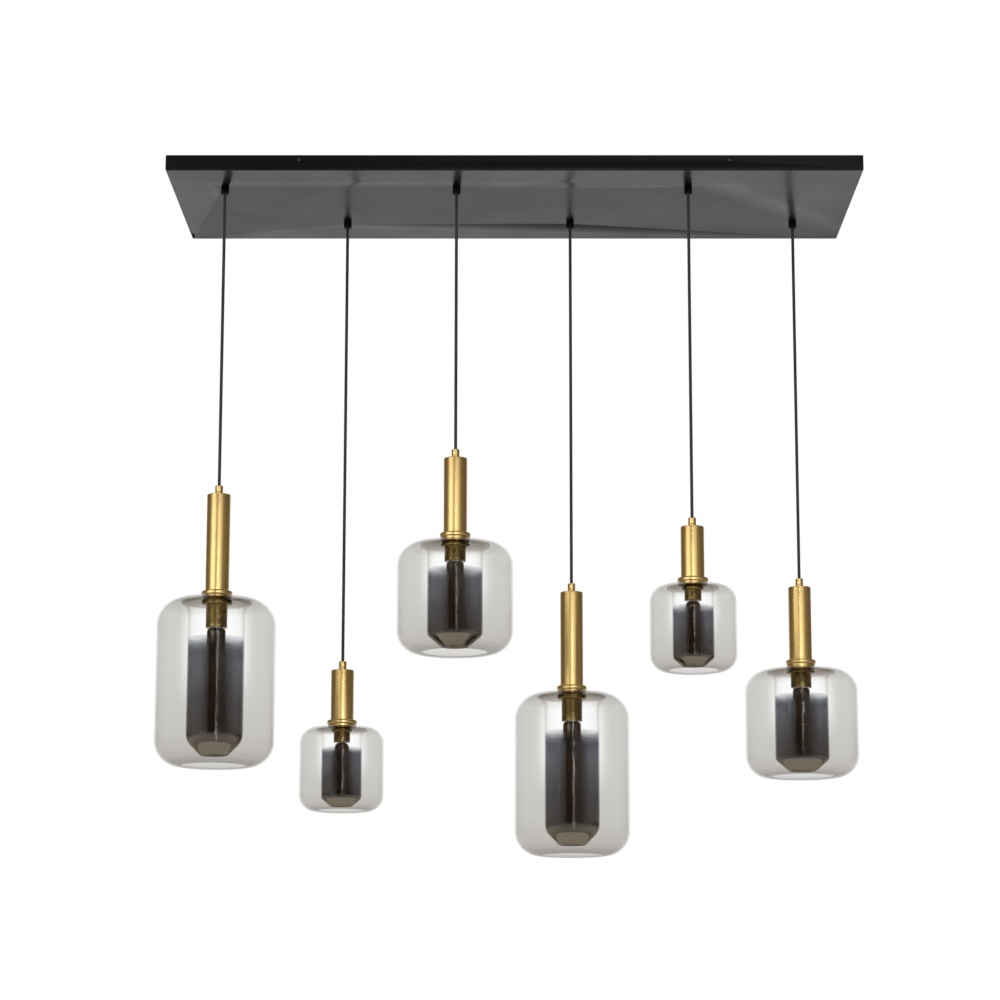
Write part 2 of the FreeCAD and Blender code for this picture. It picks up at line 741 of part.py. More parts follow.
def make_bulb(number, s, f):
    """Tubular bulb: a hollow glass envelope with its neck in a screw cap, two solids in one piece."""
    shoulder_top = f"{f.glass_top} - {s.holder_reach} - {s.bulb_seat_gap}"
    tip = f"{f.glass_top} - {s.bulb_reach}"
    neck = f"{s.bulb_neck_diameter} / 2"
    glass = f"{s.bulb_diameter} / 2"
    wall = s.bulb_wall
    neck_in = f"({neck} - {wall})"
    round_out = f.bulb_round
    round_in = f"({round_out} - {wall})"
    neck_top = f"{shoulder_top} + {s.bulb_cap_length} / 2"
    envelope = turn_piece(f"bulb_glass_{number}", (
        (neck_in, neck_top),
        (neck_in, f"{shoulder_top} - {wall}", round_in, -1),
        (f"{glass} - {wall}", f"{shoulder_top} - {round_out}"),
        (f"{glass} - {wall}", f"{tip} + {glass}", f"{glass} - {wall}", -1),
        ("0", f"{tip} + {wall}"),
        ("0", tip, glass, 1),
        (glass, f"{tip} + {glass}"),
        (glass, f"{shoulder_top} - {round_out}", round_out, 1),
        (neck, shoulder_top),
        (neck, neck_top),
    ))
    cap_radius = f"({s.socket_diameter} / 2 - {s.running_gap})"
    cap_in = f"({neck} + {s.thread_gap})"
    contact = f"{s.bulb_contact_diameter} / 2"
    cap_top = f"{shoulder_top} + {s.bulb_cap_length} - {s.bulb_contact_height}"
    cap = turn_piece(f"bulb_cap_{number}", (
        (cap_in, shoulder_top),
        (cap_radius, shoulder_top),
        (cap_radius, cap_top),
        (contact, f"{cap_top} + {s.bulb_contact_height}"),
        ("0", f"{cap_top} + {s.bulb_contact_height}"),
        ("0", f"{neck_top} + {wall}"),
        (cap_in, f"{neck_top} + {wall}"),
    ))
    bulb = doc.addObject("Part::Compound", f"bulb_{number}")
    bulb.Label = f"bulb_{number}"
    bulb.Links = [envelope, cap]
    return bulb


class ShadeFormulas:
    """Formulas that several pieces of one shade size share, named in the derived set."""

    def __init__(self, shade):
        s = Sizes(shade)
        outer = f"{s.glass_diameter} / 2"

        def named(name, formula):
            return derive(f"{name}_{shade}", formula)

        self.glass_top = named("glass_top", f"-({s.tube_length} + {s.collar_height})")
        self.neck = named("neck", f"{s.holder_diameter} / 2 + {s.neck_gap}")
        # the shoulder's centre lies where it touches both the crown and the straight wall
        inset = f"({outer} - {s.glass_shoulder} - {s.glass_seat_radius})"
        self.lean = named("lean", f"{inset} / ({s.glass_crown} - {s.glass_shoulder})")
        self.rise = named("rise", f"sqrt(1 - {self.lean}^2)")
        self.shoulder_drop = named(
            "shoulder_drop",
            f"{s.glass_crown} - ({s.glass_crown} - {s.glass_shoulder}) * {self.rise}",
        )
        # the liner's flange dips in a straight line from the seat to the lip
        lip = f"{s.liner_lip_diameter} / 2"
        tube = f"{s.liner_diameter} / 2"
        self.lip_level = named(
            "lip_level", f"{self.glass_top} - {s.glass_wall} - {s.liner_lip_drop}"
        )
        self.dip = named("dip", f"{s.liner_lip_drop} / ({lip} - {s.glass_seat_radius})")
        # the trumpet is an arc upright at the tube that runs out to the underside of the lip
        flare_out = f"({lip} - {tube})"
        flare_up = named(
            "flare_up",
            f"{s.liner_flare} - {s.glass_wall} - {s.liner_lip_drop} - {s.liner_wall}",
        )
        self.flare = named("flare", f"({flare_out}^2 + {flare_up}^2) / (2 * {flare_out})")
        # where the trumpet's inside arc meets the underside of the dipping flange
        reach = named("throat_reach", f"{tube} + {self.flare} - {s.glass_seat_radius}")
        height = named(
            "throat_height",
            f"{s.liner_flare} - {s.glass_wall} - {s.liner_wall}",
        )
        span = named("throat_span", f"{reach} + {self.dip} * {height}")
        grade = named("throat_grade", f"1 + {self.dip}^2")
        rest = named(
            "throat_rest",
            f"{reach}^2 + {height}^2 - ({self.flare} + {s.liner_wall})^2",
        )
        self.throat_run = named(
            "throat_run", f"({span} - sqrt({span}^2 - {grade} * {rest})) / {grade}"
        )
        # the liner's corner starts where the cone below it can still reach the hole
        slope = f"{s.bowl_slope} * 1 deg"
        cone_foot = f"({s.bowl_hole} / 2 + {s.liner_wall} * sin({slope}))"
        cone_head = f"({tube} - {s.bowl_corner} + {s.bowl_corner} * sin({slope}))"
        cone = f"({cone_head} - {cone_foot}) * tan({slope})"
        self.bowl_level = named(
            "bowl_level",
            f"{self.glass_top} - {s.liner_height} + {cone} + {s.bowl_corner} * cos({slope})",
        )
        # the bulb's upper end is rounded from its neck to its side
        self.bulb_round = named(
            "bulb_round", f"({s.bulb_diameter} - {s.bulb_neck_diameter}) / 2"
        )


def make_pendant(number, shade, column, row, formulas):
    """All pieces of one pendant, hung at its place under the pan."""
    s = Sizes(shade)
    across = f"{s.cord_pitch} * {column}"
    along = f"{s.row_offset} * {row}"
    cord = make_cord(number, s)
    place(cord, across, along, f"{s.grip_pivot_depth} - {s.canopy_height} - {s.grip_height}")
    hung = [
        make_gland(number, s),
        make_tube(number, s),
        make_collar(number, s),
        make_outer_glass(number, s, formulas),
        make_inner_glass(number, s, formulas),
        make_shade_ring(number, s, formulas),
        make_lampholder(number, s, formulas),
        make_bulb(number, s, formulas),
    ]
    for piece in hung:
        place(piece, across, along, f"-({s.canopy_height} + Sizes.drop_{number})")
    return [cord] + hung


# ---------------------------------------------------------------- check and export

def check_document():
    """Stops if any object of the document failed to build."""
    doc.recompute()
    for item in doc.Objects:
        if "Invalid" in item.State or "Error" in item.State:
            raise RuntimeError(f"{item.Name} did not build: {item.State}")


def export(parts):
    os.makedirs("parts", exist_ok=True)
    for part in parts:
        if part.Shape.isNull() or not part.Shape.isValid() or not part.Shape.Solids:
            raise RuntimeError(f"{part.Label} has no valid solid")
        part.Shape.exportStep(f"parts/{part.Label}.step")


make_sheet()
derived = doc.addObject("App::VarSet", "Derived")
trial = doc.addObject("App::VarSet", "Trial")
trial.addProperty("App::PropertyFloat", "reading", "Shape")

sub_parts = [
    make_canopy_pan(),
    make_ceiling_brackets(),
    make_side_screws(),
    make_cord_grips(),
    make_grip_nuts(),
    make_terminal_block(),
]
shade_formulas = {shade: ShadeFormulas(shade) for shade in SHADES}
for number, shade, column, row in PENDANTS:
    sub_parts += make_pendant(number, shade, column, row, shade_formulas[shade])

# the trial formula has served its turn
doc.removeObject(trial.Name)
check_document()
export(sub_parts)
print(len(sub_parts), "sub-parts,", sum(len(part.Shape.Solids) for part in sub_parts), "solids")
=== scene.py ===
"""Cluster pendant, dressed: glass, brass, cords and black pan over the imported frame."""
import bmesh
import bpy
from math import asin, atan2, cos, degrees, pi, radians, sin
from mathutils import Matrix, Vector


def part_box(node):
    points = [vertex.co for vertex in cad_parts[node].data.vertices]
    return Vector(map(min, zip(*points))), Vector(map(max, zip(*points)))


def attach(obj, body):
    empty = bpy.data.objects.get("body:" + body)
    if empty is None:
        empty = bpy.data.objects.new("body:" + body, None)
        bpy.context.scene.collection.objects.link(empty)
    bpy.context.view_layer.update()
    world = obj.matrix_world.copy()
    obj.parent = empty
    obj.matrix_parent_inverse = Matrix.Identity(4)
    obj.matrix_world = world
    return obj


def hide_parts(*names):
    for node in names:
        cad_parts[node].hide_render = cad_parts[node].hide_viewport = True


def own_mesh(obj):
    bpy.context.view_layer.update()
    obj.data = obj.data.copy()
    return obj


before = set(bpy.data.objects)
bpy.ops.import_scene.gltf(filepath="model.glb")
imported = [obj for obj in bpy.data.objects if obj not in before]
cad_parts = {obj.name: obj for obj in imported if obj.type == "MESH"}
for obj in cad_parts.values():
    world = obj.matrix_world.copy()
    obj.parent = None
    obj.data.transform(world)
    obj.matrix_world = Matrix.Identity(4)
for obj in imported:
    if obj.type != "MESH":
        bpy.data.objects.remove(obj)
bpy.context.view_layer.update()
MM = 0.001

# ------------------------------------------------------------------ the studio, in metres
CAMERA_PLACE = (0, -4.654, -1.517)
CAMERA_TILT = 10.3
FOCAL_LENGTH = 97.434
SENSOR_WIDTH = 36
FLOOR_LEVEL = -2.5
FLOOR_REACH = 9
# where each lamp stands, the point it is turned to, its width and height in metres, its power in watts
LAMPS = {
    "left_softbox": ((-4.24, -4.24, 0.1), (0, 0, -0.7), 4.2, 4.2, 100),
    "right_softbox": ((2.25, -5.56, 0.1), (0, 0, -0.7), 3.4, 4.2, 42),
    "top_softbox": ((0, 1.5, 3.4), (0, 0, -0.6), 4, 3, 50),
    "strip_lamp": ((0.32, -4.6, -0.9), (0.32, 0, -0.9), 0.2, 3.4, 36),
}

# ------------------------------------------------------------------ the six pendants
KIND = {1: "large", 2: "small", 3: "medium", 4: "large", 5: "small", 6: "medium"}
# radii of the glass curves and inside sizes that the boxes of the nodes don't give, in millimetres;
# the slope of the liner's cone is in degrees
CURVES = {
    "large": dict(crown=180, shoulder=46, hip=43, mouth=56, lip_drop=5.5, flare=30, slope=45,
                  corner=30, hole=21.5, liner=96.5, socket=13.5, neck=11, cap=26),
    "medium": dict(crown=200, shoulder=38, hip=38, mouth=56, lip_drop=4, flare=21, slope=40,
                   corner=12, hole=21.5, liner=95, socket=13.5, neck=11, cap=26),
    "small": dict(crown=140, shoulder=26, hip=28, mouth=43, lip_drop=2.5, flare=15.5, slope=40,
                  corner=10, hole=17.5, liner=71, socket=7.3, neck=5.25, cap=21),
}
GLASS_WALL = 2.5
LINER_WALL = 2
BULB_WALL = 1
TUBE_WALL = 1.25
SEAT = 27


# ------------------------------------------------------------------ materials
def fill_ramp(ramp, stops):
    """Sets a colour ramp's stops of (place, colour)."""
    while len(ramp.elements) < len(stops):
        ramp.elements.new(0.5)
    for element, (where, colour) in zip(ramp.elements, stops):
        element.position = where
        element.color = (*colour, 1)


class Finish:
    """A node material whose Principled shader is filled in by name."""

    def __init__(self, name, **sockets):
        self.material = bpy.data.materials.new(name)
        self.material.use_nodes = True
        self.nodes = self.material.node_tree.nodes
        self.links = self.material.node_tree.links
        self.shader = self.nodes["Principled BSDF"]
        self.output = self.nodes["Material Output"]
        for socket, value in sockets.items():
            self.shader.inputs[socket.replace("_", " ")].default_value = value

    def node(self, kind, **settings):
        made = self.nodes.new(kind)
        for key, value in settings.items():
            if hasattr(made, key):
                setattr(made, key, value)
            else:
                made.inputs[key.replace("_", " ")].default_value = value
        return made

    def join(self, start, end):
        self.links.new(start, end)

    def place(self, source="Object", scale=(1, 1, 1)):
        """Coordinates on the piece, stretched by a scale."""
        where = self.node("ShaderNodeTexCoord")
        mapping = self.node("ShaderNodeMapping")
        mapping.inputs["Scale"].default_value = scale
        self.join(where.outputs[source], mapping.inputs["Vector"])
        return mapping.outputs["Vector"]

    def noise(self, scale, detail=3, stretch=(1, 1, 1), source="Object", rough=0.5):
        made = self.node("ShaderNodeTexNoise", Scale=scale, Detail=detail, Roughness=rough)
        self.join(self.place(source, stretch), made.inputs["Vector"])
        return made.outputs["Fac"]

    def spread(self, factor, low, high, start=0.3, end=0.7):
        """A number that runs from low to high with a pattern."""
        made = self.node("ShaderNodeMapRange")
        for socket, value in (("From Min", start), ("From Max", end), ("To Min", low), ("To Max", high)):
            made.inputs[socket].default_value = value
        self.join(factor, made.inputs["Value"])
        return made.outputs["Result"]

    def tint(self, factor, stops):
        """A colour that runs along a pattern through stops of (place, colour)."""
        ramp = self.node("ShaderNodeValToRGB")
        fill_ramp(ramp.color_ramp, stops)
        self.join(factor, ramp.inputs["Fac"])
        return ramp.outputs["Color"]

    def colour(self, factor, stops):
        self.join(self.tint(factor, stops), self.shader.inputs["Base Color"])

    def rough(self, factor, low, high):
        self.join(self.spread(factor, low, high), self.shader.inputs["Roughness"])

    def bump(self, height, strength, distance):
        made = self.node("ShaderNodeBump")
        made.inputs["Strength"].default_value = strength
        made.inputs["Distance"].default_value = distance
        self.join(height, made.inputs["Height"])
        self.join(made.outputs["Normal"], self.shader.inputs["Normal"])


def pan_paint():
    """Black powder coat: fine orange peel, a soft sheen."""
    f = Finish("pan_powder_coat", Roughness=0.3, Specular_IOR_Level=0.12)
    f.colour(f.noise(3, 5), [(0.3, (0.003, 0.003, 0.003)), (0.7, (0.005, 0.005, 0.005))])
    f.rough(f.noise(9, 6), 0.24, 0.32)
    f.bump(f.noise(1400, 2), 0.12, 0.00006)
    return f.material


def brushed_brass():
    """Satin brass, brushed round the tube: lines level on the piece, broken up along their length."""
    f = Finish("brushed_brass", Metallic=1)
    lines = f.noise(60, 6, stretch=(1, 1, 60), rough=0.65)
    cloud = f.noise(14, 3)
    f.colour(cloud, [(0.3, (0.74, 0.53, 0.21)), (0.7, (0.80, 0.585, 0.245))])
    f.rough(lines, 0.29, 0.36)
    f.bump(lines, 0.04, 0.00003)
    return f.material


def aged_brass():
    """Brass of lampholder and ring, much darker than the tube's."""
    f = Finish("aged_brass", Metallic=1)
    f.colour(f.noise(30, 4), [(0.3, (0.14, 0.095, 0.03)), (0.7, (0.23, 0.165, 0.055))])
    f.rough(f.noise(120, 4), 0.25, 0.4)
    return f.material


def black_steel():
    f = Finish("black_steel", Metallic=0.6)
    f.colour(f.noise(80, 4), [(0.3, (0.012, 0.012, 0.012)), (0.7, (0.03, 0.03, 0.03))])
    f.rough(f.noise(60, 3), 0.3, 0.45)
    return f.material


def zinc_steel():
    f = Finish("zinc_plated_steel", Metallic=1)
    f.colour(f.noise(40, 5), [(0.3, (0.50, 0.51, 0.52)), (0.7, (0.66, 0.66, 0.64))])
    f.rough(f.noise(25, 5), 0.32, 0.5)
    return f.material


def black_nylon():
    f = Finish("moulded_nylon", Specular_IOR_Level=0.2)
    f.colour(f.noise(90, 3), [(0.3, (0.004, 0.004, 0.004)), (0.7, (0.008, 0.008, 0.008))])
    f.rough(f.noise(200, 3), 0.34, 0.46)
    f.bump(f.noise(2500, 2), 0.15, 0.00004)
    return f.material


def ivory_plastic():
    f = Finish("terminal_ivory")
    f.colour(f.noise(50, 2), [(0.3, (0.62, 0.60, 0.52)), (0.7, (0.70, 0.68, 0.60))])
    f.rough(f.noise(150, 2), 0.4, 0.5)
    return f.material


def cord_braid():
    """Textile braid: two sets of slanted yarns over and under each other, from the cord's own UV."""
    f = Finish("braided_textile", Sheen_Weight=0.3, Sheen_Roughness=0.4)
    yarns = []
    for turn in (1, -1):
        made = f.node("ShaderNodeTexWave", wave_type="BANDS", bands_direction="DIAGONAL")
        made.inputs["Scale"].default_value = 1
        made.inputs["Distortion"].default_value = 0.3
        f.join(f.place("UV", (3 * turn, 3, 0)), made.inputs["Vector"])
        yarns.append(made.outputs["Fac"])
    weave = f.node("ShaderNodeMath", operation="MAXIMUM")
    f.join(yarns[0], weave.inputs[0])
    f.join(yarns[1], weave.inputs[1])
    f.colour(weave.outputs["Value"], [(0.3, (0.004, 0.004, 0.004)), (0.9, (0.020, 0.020, 0.021))])
    f.rough(weave.outputs["Value"], 0.9, 0.6)
    f.bump(weave.outputs["Value"], 0.8, 0.0003)
    return f.material


class Film(Finish):
    """Blown glass as a thin film. It passes light straight on through a tint, and mirrors more the more
    it turns away: mirror is the share where it faces you, and steepness how late the rest comes."""

    def __init__(self, name, mirror, steepness=5):
        super().__init__(name)
        self.nodes.remove(self.shader)
        self.turned = self.node("ShaderNodeLayerWeight", Blend=0.5).outputs["Facing"]
        self.pass_on = self.node("ShaderNodeBsdfTransparent")
        self.shine = self.node("ShaderNodeBsdfAnisotropic", Roughness=0.03)
        self.shine.inputs["Color"].default_value = (1, 1, 1, 1)
        steep = self.node("ShaderNodeMath", operation="POWER")
        steep.inputs[1].default_value = steepness
        self.join(self.turned, steep.inputs[0])
        self.share = self.spread(steep.outputs["Value"], mirror, 1, 0, 1)
        self.mix = self.node("ShaderNodeMixShader")
        self.join(self.share, self.mix.inputs["Fac"])
        self.join(self.pass_on.outputs["BSDF"], self.mix.inputs[1])
        self.join(self.shine.outputs["BSDF"], self.mix.inputs[2])
        self.join(self.mix.outputs["Shader"], self.output.inputs["Surface"])

    def level(self, low, high):
        """A number from 0 at one height on the piece to 1 at another, in metres."""
        where = self.node("ShaderNodeTexCoord")
        split = self.node("ShaderNodeSeparateXYZ")
        self.join(where.outputs["Object"], split.inputs["Vector"])
        return self.spread(split.outputs["Z"], 0, 1, low, high)

    def turned_level(self):
        """How far the glass turns away round its own axis, whatever its slope."""
        flat = self.node("ShaderNodeVectorMath", operation="MULTIPLY")
        flat.inputs[1].default_value = (1, 1, 0)
        self.join(self.node("ShaderNodeNewGeometry").outputs["Normal"], flat.inputs[0])
        even = self.node("ShaderNodeVectorMath", operation="NORMALIZE")
        self.join(flat.outputs["Vector"], even.inputs[0])
        weight = self.node("ShaderNodeLayerWeight", Blend=0.5)
        self.join(even.outputs["Vector"], weight.inputs["Normal"])
        return weight.outputs["Facing"]

    def blend(self, kind, first, second, factor=None):
        """Mixes two colours by a factor, or wholly where none is given."""
        both = self.node("ShaderNodeMix", data_type="RGBA", blend_type=kind)
        both.inputs["Factor"].default_value = 1
        if factor:
            self.join(factor, both.inputs["Factor"])
        self.join(first, both.inputs["A"])
        self.join(second, both.inputs["B"])
        return both.outputs["Result"]

    def count(self, operation, first, second):
        made = self.node("ShaderNodeMath", operation=operation)
        self.join(first, made.inputs[0])
        self.join(second, made.inputs[1])
        return made.outputs["Value"]


def shade_glass(low, high, name):
    """Pale warm smoke, evenly grey lower down, a little darker on the crown and round the mouth.
    Above the middle it is clear where it faces you and greys towards the flanks: painted reflection,
    the glow of light beside the liner."""
    f = Film(name, mirror=0.002, steepness=8)
    level = f.level(low, high)
    # painted reflection: the upper wall is clear where it faces you, standing for the glow of light beside
    # the liner; the grey towards the flanks is the smoke
    upper_smoke_and_painted_glow = f.tint(f.turned_level(), [
        (0, (1, 1, 1)), (0.10, (0.99, 0.99, 0.988)), (0.155, (0.945, 0.944, 0.938)),
        (0.22, (0.904, 0.902, 0.894)), (0.30, (0.888, 0.886, 0.875)), (0.55, (0.885, 0.882, 0.872)),
        (0.80, (0.90, 0.898, 0.89)), (1, (0.93, 0.928, 0.92)),
    ])
    lower = f.tint(level, [
        (0, (0.68, 0.672, 0.66)), (0.03, (0.79, 0.782, 0.768)), (0.07, (0.84, 0.832, 0.818)),
        (0.13, (0.855, 0.848, 0.836)), (0.22, (0.872, 0.867, 0.855)), (0.6, (0.885, 0.88, 0.87)),
    ])
    wall = f.blend("MIX", lower, upper_smoke_and_painted_glow, f.spread(level, 0, 1, 0.35, 0.62))
    crown = f.tint(level, [(0.93, (1, 1, 1)), (0.985, (0.9, 0.895, 0.885))])
    f.join(f.blend("MULTIPLY", wall, crown), f.pass_on.inputs["Color"])
    f.join(f.count("MULTIPLY", f.share, f.spread(level, 0.25, 1, 0.04, 0.14)), f.mix.inputs["Fac"])
    return f.material


def liner_glass(low, high, name):
    """Plated liner: clear above, then a half mirror that sets in with fine rings and thickens down to the
    hole. Where plated, its tint is painted reflection: darkest where it faces you and clearer towards
    the flanks, where the half mirror shows the bright room."""
    f = Film(name, mirror=0.002, steepness=6)
    level = f.level(low, high)
    plate = f.tint(level, [
        (0.0, (0.56, 0.53, 0.49)), (0.10, (0.45, 0.42, 0.38)), (0.16, (0.565, 0.555, 0.555)),
        (0.35, (0.575, 0.568, 0.575)), (0.54, (0.59, 0.588, 0.605)), (0.60, (0.60, 0.60, 0.62)),
        (0.655, (0.53, 0.535, 0.555)), (0.662, (0.58, 0.585, 0.605)), (0.69, (0.58, 0.585, 0.605)),
        (0.697, (0.66, 0.668, 0.685)), (0.715, (0.70, 0.706, 0.72)), (0.722, (0.80, 0.81, 0.825)),
        (0.74, (0.86, 0.87, 0.88)), (0.75, (1, 1, 1)), (0.966, (1, 1, 1)),
        (0.978, (0.76, 0.745, 0.725)), (1.0, (0.74, 0.72, 0.70)),
    ])
    # painted reflection: the plated wall passes more light towards its flanks, standing for the bright
    # room mirrored there
    plated_painted_reflection = f.tint(f.turned, [(0, (0.66, 0.645, 0.63)), (0.05, (0.72, 0.71, 0.70)),
                               (0.12, (0.84, 0.83, 0.82)), (0.25, (1, 1, 1)), (0.9, (1, 1, 1)),
                               (1, (0.8, 0.78, 0.76))])
    clear = f.tint(f.turned, [(0, (1, 1, 1)), (0.70, (0.98, 0.978, 0.976)), (0.88, (0.90, 0.89, 0.88)),
                              (1, (0.62, 0.59, 0.57))])
    turned = f.blend("MIX", plated_painted_reflection, clear, f.spread(level, 0, 1, 0.69, 0.75))
    f.join(f.blend("MULTIPLY", turned, plate), f.pass_on.inputs["Color"])
    f.join(f.tint(level, [(0.08, (0.90, 0.80, 0.64)), (0.14, (0.93, 0.95, 1)), (0.957, (0.93, 0.95, 1)),
                          (0.967, (0.52, 0.485, 0.44))]), f.shine.inputs["Color"])
    # the plating mirrors more than bare glass does, most of all on the bowl
    least = f.tint(level, [(0.09, (0.2, 0.2, 0.2)), (0.14, (0.016, 0.016, 0.016)),
                           (0.66, (0.016, 0.016, 0.016)), (0.75, (0, 0, 0))])
    share = f.count("MULTIPLY", f.share, f.spread(level, 1, 0.3, 0.66, 0.76))
    f.join(f.count("MAXIMUM", share, least), f.mix.inputs["Fac"])
    return f.material


def bulb_glass(low, high, name):
    """Amber bulb glass, darkest just below the lampholder: painted shade, the holder's shadow on the neck.
    """
    f = Film(name, mirror=0.04)
    amber = f.tint(f.turned, [(0, (0.92, 0.78, 0.55)), (0.5, (0.80, 0.62, 0.38)), (1, (0.42, 0.25, 0.10))])
    # painted shade: the tint darkens towards the lampholder, standing for its shadow on the bulb
    painted_neck_shade = f.tint(f.level(low, high), [(0, (1, 1, 1)), (0.55, (0.83, 0.86, 0.95)), (1, (0.48, 0.5, 0.6))])
    f.join(f.blend("MULTIPLY", amber, painted_neck_shade), f.pass_on.inputs["Color"])
    return f.material


def rod_glass():
    return Finish("clear_rod_glass", Roughness=0.02, IOR=1.5, Transmission_Weight=1,
                  Base_Color=(0.95, 0.9, 0.8, 1)).material


def filament_metal():
    f = Finish("filament_gold", Metallic=1, Roughness=0.3)
    f.colour(f.noise(300, 2), [(0.3, (0.85, 0.56, 0.22)), (0.7, (0.95, 0.70, 0.34))])
    return f.material


def cap_nickel():
    f = Finish("cap_nickel", Metallic=1)
    f.colour(f.noise(60, 3), [(0.3, (0.60, 0.58, 0.54)), (0.7, (0.72, 0.70, 0.66))])
    f.rough(f.noise(90, 3), 0.2, 0.34)
    return f.material


# ------------------------------------------------------------------ making pieces
def finish_mesh(bm, name, material, sharp=35):
    """Merges doubles, points the faces outwards and makes the object, smooth but for sharp edges."""
    bmesh.ops.remove_doubles(bm, verts=bm.verts, dist=0.000002)
    bmesh.ops.recalc_face_normals(bm, faces=bm.faces)
    mesh = bpy.data.meshes.new(name)
    bm.to_mesh(mesh)
    bm.free()
    mesh.shade_smooth()
    mesh.set_sharp_from_angle(angle=radians(sharp))
    mesh.materials.append(material)
    made = bpy.data.objects.new(name, mesh)
    bpy.context.scene.collection.objects.link(made)
    return made


class Outline:
    """Half of a turned section, drawn point by point in millimetres and spun about its axis."""

    def __init__(self, centre, level):
        self.bm = bmesh.new()
        self.centre = centre
        self.level = level
        self.first = None
        self.last = None

    def to(self, radius, height):
        here = (self.centre[0] + radius * MM, self.centre[1], self.level + height * MM)
        vertex = self.bm.verts.new(here)
        if self.last:
            self.bm.edges.new((self.last, vertex))
        else:
            self.first = vertex
        self.last = vertex
        return self

    def arc(self, radius, height, angle, steps=8):
        """Carries the last point round a centre; a positive angle runs from top to outside."""
        centre = (self.centre[0] + radius * MM, self.centre[1], self.level + height * MM)
        spun = bmesh.ops.spin(self.bm, geom=[self.last], cent=centre, axis=(0, 1, 0),
                              angle=radians(angle), steps=steps)
        self.last = next(g for g in spun["geom_last"] if isinstance(g, bmesh.types.BMVert))
        return self

    def close(self):
        self.bm.edges.new((self.last, self.first))
        return self

    def turn(self, name, material, steps=96, soften=0, sharp=35):
        """Spins the outline; soften rounds its hard edges by so many millimetres."""
        bm = self.bm
        bmesh.ops.spin(bm, geom=bm.verts[:] + bm.edges[:], cent=(*self.centre, 0), axis=(0, 0, 1),
                       angle=2 * pi, steps=steps, use_merge=True)
        bmesh.ops.remove_doubles(bm, verts=bm.verts, dist=0.000002)
        bmesh.ops.recalc_face_normals(bm, faces=bm.faces)
        if soften:
            hard = [e for e in bm.edges if len(e.link_faces) == 2
                    and e.calc_face_angle() > radians(30)]
            bmesh.ops.bevel(bm, geom=hard, offset=soften * MM, segments=3, profile=0.5,
                            affect="EDGES", material=-1, clamp_overlap=True)
        return finish_mesh(bm, name, material, sharp)


def fit(piece, body, slot, *nodes):
    """Hangs a piece on its body and hides the CAD nodes that it stands for; the slot is not used."""
    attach(piece, body)
    if nodes:
        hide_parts(*nodes)
    return piece


def smooth_copy(node, name, material, sharp=30):
    """A CAD node's own shape, merged and shaded smooth, in place of the node."""
    bm = bmesh.new()
    bm.from_mesh(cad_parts[node].data)
    return finish_mesh(bm, name, material, sharp)


def place_of(node):
    low, high = (Vector(corner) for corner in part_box(node))
    return low, high, ((low.x + high.x) / 2, (low.y + high.y) / 2)


# ------------------------------------------------------------------ camera, floor and light
def make_camera():
    data = bpy.data.cameras.new("camera")
    data.sensor_width = SENSOR_WIDTH
    data.lens = FOCAL_LENGTH
    data.shift_x = -0.0145
    data.shift_y = 0.06
    data.clip_end = 50
    camera = bpy.data.objects.new("camera", data)
    camera.location = CAMERA_PLACE
    camera.rotation_euler = (radians(90 + CAMERA_TILT), 0, 0)
    bpy.context.scene.collection.objects.link(camera)
    bpy.context.scene.camera = camera


def make_floor():
    """A wide pale floor a storey below the ceiling plane, white to the eye and to the glass."""
    bm = bmesh.new()
    bmesh.ops.create_grid(bm, x_segments=1, y_segments=1, size=FLOOR_REACH)
    bmesh.ops.translate(bm, verts=bm.verts, vec=(0, 0, FLOOR_LEVEL))
    f = Finish("floor_white", Base_Color=(0.8, 0.8, 0.8, 1), Roughness=0.9)
    light = f.node("ShaderNodeEmission")
    light.inputs["Strength"].default_value = 1
    light.inputs["Color"].default_value = (1, 1, 1, 1)
    path = f.node("ShaderNodeLightPath")
    seen = f.node("ShaderNodeMath", operation="MAXIMUM")
    f.join(path.outputs["Is Camera Ray"], seen.inputs[0])
    f.join(path.outputs["Is Glossy Ray"], seen.inputs[1])
    mix = f.node("ShaderNodeMixShader")
    f.join(seen.outputs["Value"], mix.inputs["Fac"])
    f.join(f.shader.outputs["BSDF"], mix.inputs[1])
    f.join(light.outputs["Emission"], mix.inputs[2])
    f.join(mix.outputs["Shader"], f.output.inputs["Surface"])
    floor = finish_mesh(bm, "floor", f.material)


